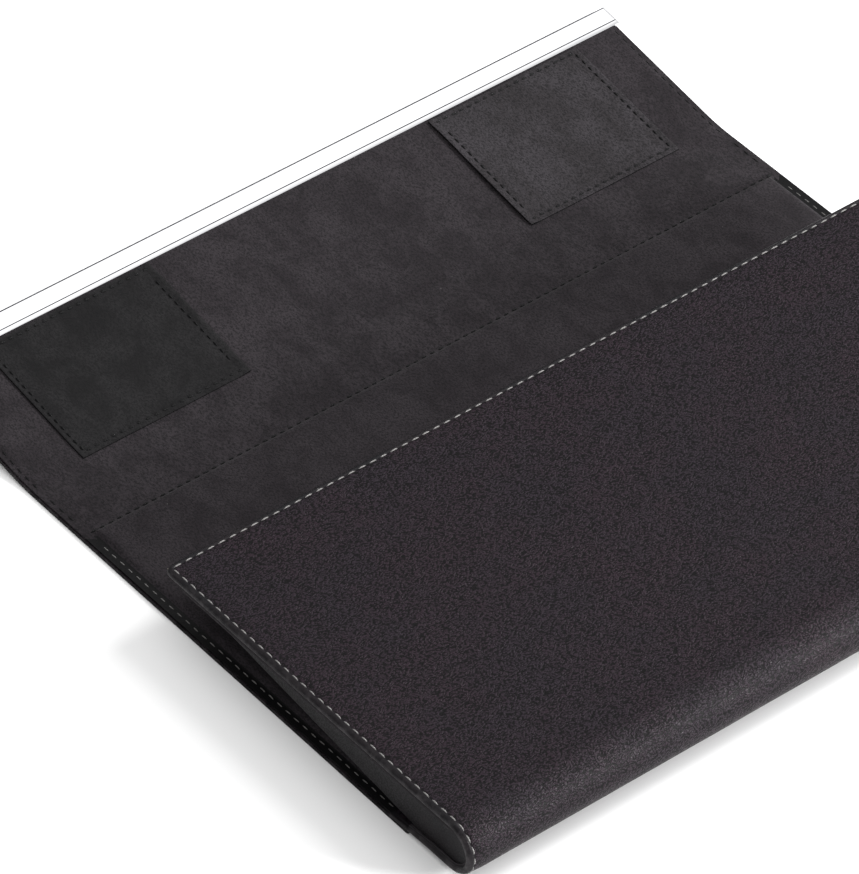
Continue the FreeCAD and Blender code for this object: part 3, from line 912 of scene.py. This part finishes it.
# ---- Flap --------------------------------------------------------------------------------------

BAR_MOUTH = FLAP_END - 2 * MM
FLAP_BOARD = 0.6 * MM
FLAP_TOP = LEATHER + FLAP_BOARD + LINING
FLAP_WAVE = (36 * MM, 0.35 * MM)
POCKET_SHEET = 0.7 * MM
POCKET_HEM = 3.2 * MM            # width of the hem along a pocket's opening
POCKET_HEM_RISE = 0.3 * MM
POCKET_GAPE = 0.5 * MM           # how far the opening stands away from the flap


def flap_cover():
    """Suede over the flap's thin board, pulled down at its sewn sides."""
    half = HALF - LINING_INSET
    start, end = MID_SPINE, FLAP_END - 0.3 * MM
    step = FLAP_FOLD + 3 * MM
    piece = flat_sheet("flap_cover", half - 4 * MM, step + 2 * MM, end)
    carry_edges(piece, ("left", "right", "start"),
                [(0.9 * MM, -0.06 * MM), (0.6 * MM, -0.2 * MM), (0.7 * MM, -0.24 * MM),
                 (0.7 * MM, -0.1 * MM), (1.1 * MM, 0)])
    edge = step + 2 * MM - 4 * MM
    extend(piece, 1, edge, lambda co: True, (0, start - edge, 0))
    cut_up(piece, 0, 4 * MM - half, half - 4 * MM, 3 * MM)
    cut_up(piece, 1, step + 2 * MM, end, 2 * MM)
    cut_up(piece, 1, start, edge, 1 * MM)
    uneven(piece, *FLAP_WAVE)
    thicken(piece, LINING)
    for vert in piece.data.vertices:
        vert.co.z += FLAP_TOP
    lay(piece, BACK_PATH)
    finish_with(piece, "suede", SUEDE)
    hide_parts("spine_lining", "flap_lining")
    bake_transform(piece)


def card_pocket(name, opens, material):
    """A card pocket: a suede patch with a hem along its open side, which stands a little away;
    its cut edges are near-black as painted shade.
    """
    node_low, node_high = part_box(name)
    start, end = FLAP_FOLD + 5 * MM, BAR_MOUTH - 1 * MM
    half = (node_high.x - node_low.x) / 2
    middle = (node_high.x + node_low.x) / 2
    piece = flat_sheet(name + "_suede", half, start, end, middle)
    cut_up(piece, 0, middle - half, middle + half, 1 * MM)
    cut_up(piece, 1, start, end, 1.5 * MM)
    open_x = middle + opens * half
    sewn_x = middle - opens * half

    for vert in piece.data.vertices:
        from_opening = abs(vert.co.x - open_x)
        from_ends = min(vert.co.y - start, end - vert.co.y)
        gape = math.exp(-from_opening / (7 * MM)) * min(1, from_ends / (9 * MM))
        vert.co.z = gape * POCKET_GAPE
        stitched = min(abs(from_opening - POCKET_HEM),
                       from_ends if from_opening > POCKET_HEM else 1,
                       abs(from_ends - STITCH_INSET),
                       abs(abs(vert.co.x - sewn_x) - STITCH_INSET))
        vert.co.z -= STITCH_PULL * math.exp(-(stitched / (0.8 * MM)) ** 2)
        if from_opening < POCKET_HEM:
            vert.co.z += POCKET_HEM_RISE * min(1, (POCKET_HEM - from_opening) / (0.8 * MM))
        vert.co.z += FLAP_TOP + POCKET_SHEET
    uneven(piece, *FLAP_WAVE)
    # The pocket's suede is a lighter or darker copy of the lining's, as painted light or shade.
    finish_with(piece, "suede", material, EDGE_PAINT_AND_SHADE)
    thicken(piece, POCKET_SHEET, 0.2 * MM)
    # Painted shade: the patch's cut edges take the near-black edge leather, standing in for the
    # shadow line along them.
    for face in piece.data.polygons:
        face.material_index = int(abs(face.normal.z) < 0.8)
    lay(piece, BACK_PATH)
    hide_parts(name)
    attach(piece, "flap")

    height = FLAP_TOP + POCKET_SHEET + 0.05 * MM
    seam_x = middle - opens * (half - STITCH_INSET)
    hem_x = open_x - opens * POCKET_HEM
    low_y, high_y = start + STITCH_INSET, end - STITCH_INSET
    side = "left" if opens > 0 else "right"
    lines = {"side": ((seam_x, low_y), (seam_x, high_y)),
             "lower": ((seam_x, low_y), (open_x - opens * 1.2 * MM, low_y)),
             "upper": ((seam_x, high_y), (open_x - opens * 1.2 * MM, high_y))}
    for index, (line, (first, last)) in enumerate(lines.items()):
        row = stitch_row(side + "_pocket_stitches_" + line, first, last, height, BACK_PATH,
                         BLACK_THREAD, 30 + index + 5 * opens, 1.35, FINE_PITCH, FLAP_WAVE)
        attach(row, "flap")
    row = stitch_row(side + "_pocket_hem_stitches", (hem_x, low_y + 6 * MM),
                     (hem_x, high_y - 6 * MM), height + 0.4 * MM, BACK_PATH, BLACK_THREAD,
                     40 + opens, 1.2, FINE_PITCH, FLAP_WAVE)
    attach(row, "flap")


def flap_stitches():
    """Black stitches down both sides of the flap."""
    x = HALF - 3.2 * MM
    height = SOFT_TOP + 0.25 * MM
    for name, side, seed in (("left", -1, 21), ("right", 1, 22)):
        row = stitch_row("flap_stitches_" + name, (side * x, FLAP_FOLD + 2 * MM),
                         (side * x, BAR_MOUTH - 1 * MM), height, BACK_PATH, BLACK_THREAD, seed,
                         0.9, PITCH, FLAP_WAVE)
        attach(row, "flap")
        row = stitch_row("spine_stitches_" + name, (side * x, SPINE_FOLD + 4 * MM),
                         (side * x, FLAP_FOLD - 4 * MM), SOFT_TOP + 0.1 * MM, BACK_PATH,
                         BLACK_THREAD, seed + 2, 0.9)
        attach(row, "spine")

# ---- Closure bar -------------------------------------------------------------------------------


def closure_bar():
    """Polished bar: a flat top with chamfered edges, and a fine groove along its inner side."""
    width, wall, over = 10.5 * MM, 1.1 * MM, 1 * MM
    chamfer, fall = 1.4 * MM, 0.7 * MM
    groove_low, groove_high = BAR_MOUTH + 1.55 * MM, BAR_MOUTH + 1.95 * MM
    groove_depth = 0.45 * MM
    top = FLAP_TOP + wall
    bpy.ops.object.select_all(action="DESELECT")
    middle = (0, BAR_MOUTH + width / 2, (top - wall) / 2)
    bpy.ops.mesh.primitive_cube_add(size=1, location=middle)
    piece = bpy.context.object
    piece.name = piece.data.name = "polished_bar"
    edit(piece)
    bpy.ops.mesh.select_all(action="SELECT")
    bpy.ops.transform.resize(value=(2 * (HALF + over), width, top + wall),
                             center_override=middle)
    done()
    bpy.ops.object.transform_apply(location=True, rotation=True, scale=True)
    edit(piece, "FACE")
    pick(piece, "FACE", lambda co: co.z > top - TINY)
    bpy.ops.mesh.inset(thickness=chamfer)
    bpy.ops.mesh.select_mode(type="VERT")
    pick(piece, "VERT", lambda co: co.z > top - TINY
         and (abs(co.x) > HALF + over - TINY or abs(co.y - middle[1]) > width / 2 - TINY))
    bpy.ops.transform.translate(value=(0, 0, -fall))
    for place in (groove_low, groove_high):
        bpy.ops.mesh.select_all(action="SELECT")
        bpy.ops.mesh.bisect(plane_co=(0, place, 0), plane_no=(0, 1, 0))
    bpy.ops.mesh.select_mode(type="FACE")
    pick(piece, "FACE", lambda co: co.z > top - TINY
         and groove_low - TINY < co.y < groove_high + TINY)
    bpy.ops.mesh.extrude_region_move(TRANSFORM_OT_translate={"value": (0, 0, -groove_depth)})
    done()
    finish_with(piece, "polished_bar", POLISHED, GROOVE_SHADE)
    # Painted shade: the groove's bottom faces take the dark groove metal.
    paint(piece, 1, lambda co: (groove_low - TINY < co.y < groove_high + TINY
                                and top - groove_depth - TINY < co.z < top - TINY
                                and abs(co.x) < HALF + over - chamfer - TINY))
    apply_modifier(piece, "BEVEL", width=0.12 * MM, segments=2, limit_method="ANGLE",
                   angle_limit=math.radians(50))
    edit(piece, "EDGE")
    pick(piece, "EDGE", lambda a, b: abs(a.x - b.x) > HALF)
    bpy.ops.mesh.subdivide(number_cuts=40)
    done()
    lay(piece, BACK_PATH, 20)
    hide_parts("closure_bar", "bar_left_cap", "bar_right_cap")
    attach(piece, "flap")

# ---- Build -------------------------------------------------------------------------------------

front_skin()
pouch_lining()
divider_pad()
front_stitches()
outer_skin("back_skin", BACK_START, MID_SPINE, ("back_leather",))
outer_skin("flap_skin", MID_SPINE, FLAP_END, ("spine_leather", "flap_leather"))
back_cover()
back_stitches()
flap_cover()
# Painted shade on the left pocket, painted light on the right pocket, through their suede copies.
card_pocket("left_card_pocket", 1, LEFT_POCKET_SHADED_SUEDE)
card_pocket("right_card_pocket", -1, RIGHT_POCKET_LIT_SUEDE)
flap_stitches()
closure_bar()
bpy.data.objects.remove(STITCH)

for node, material_used in (("back_board", BOARD), ("front_board", BOARD),
                            ("divider_board", BOARD), ("flap_board", BOARD),
                            ("closure_magnets", NICKEL)):
    kept = frame["nodes"][node].data.materials
    kept.clear()
    kept.append(material_used)

# ---- Floor, light and camera -------------------------------------------------------------------


def floor_material():
    made, nodes, shader, places = material("studio_floor")
    place = places.outputs["Object"]
    tone = nodes.noise(place, 3.0, 2.0)
    join_up(nodes, shader, nodes.mix(tone, (0.86, 0.86, 0.86, 1), (0.9, 0.9, 0.9, 1)))
    shader.inputs["Roughness"].default_value = 0.9
    shader.inputs["Specular IOR Level"].default_value = 0.0
    return made


bpy.ops.object.select_all(action="DESELECT")
bpy.ops.mesh.primitive_plane_add(size=12, location=(0, 0, -0.2 * MM))
floor = bpy.context.object
floor.name = "floor"
bpy.ops.object.transform_apply(location=True, rotation=True, scale=True)
floor.data.materials.append(floor_material())


def studio_world():
    """A white ceiling over walls that fall off to dark grey near the floor."""
    world = bpy.data.worlds.new("studio")
    world.use_nodes = True
    nodes = Nodes(world.node_tree)
    direction = nodes.add("ShaderNodeTexCoord").outputs["Generated"]
    rise = nodes.add("ShaderNodeSeparateXYZ", {"Vector": direction}).outputs["Z"]
    wall = nodes.mix(nodes.between(rise, 0.06, 0.5), (0.06, 0.06, 0.065, 1), (0.8, 0.8, 0.8, 1))
    colour = nodes.mix(nodes.between(rise, 0.62, 0.8), wall, (1.3, 1.3, 1.3, 1))
    shader = world.node_tree.nodes["Background"]
    world.node_tree.links.new(colour, shader.inputs["Color"])
    shader.inputs["Strength"].default_value = 1.0
    bpy.context.scene.world = world


studio_world()


def area_light(name, place, size, power):
    light = bpy.data.lights.new(name, "AREA")
    light.shape = "DISK"
    light.size = size
    light.energy = power
    lamp = bpy.data.objects.new(name, light)
    bpy.context.collection.objects.link(lamp)
    lamp.location = place
    lamp.rotation_euler = (-Vector(place)).to_track_quat("-Z", "Y").to_euler()


area_light("key_light", (1.6, -0.1, 1.5), 0.8, 28)
area_light("fold_light", (0.72, -1.33, 0.42), 0.3, 32)

AIM = Vector((-0.03333, 0.02469, 0))
DISTANCE = 2.6179
AZIMUTH, ELEVATION = math.radians(-38.47), math.radians(42.11)
back = Vector((math.sin(AZIMUTH) * math.cos(ELEVATION),
               -math.cos(AZIMUTH) * math.cos(ELEVATION), math.sin(ELEVATION)))
lens = bpy.data.cameras.new("camera")
lens.lens = 286.74
lens.sensor_width = 36
camera = bpy.data.objects.new("camera", lens)
bpy.context.collection.objects.link(camera)
camera.location = AIM + DISTANCE * back
camera.rotation_euler = back.to_track_quat("Z", "Y").to_euler()
bpy.context.scene.camera = camera
bpy.context.scene.view_settings.view_transform = "Standard"
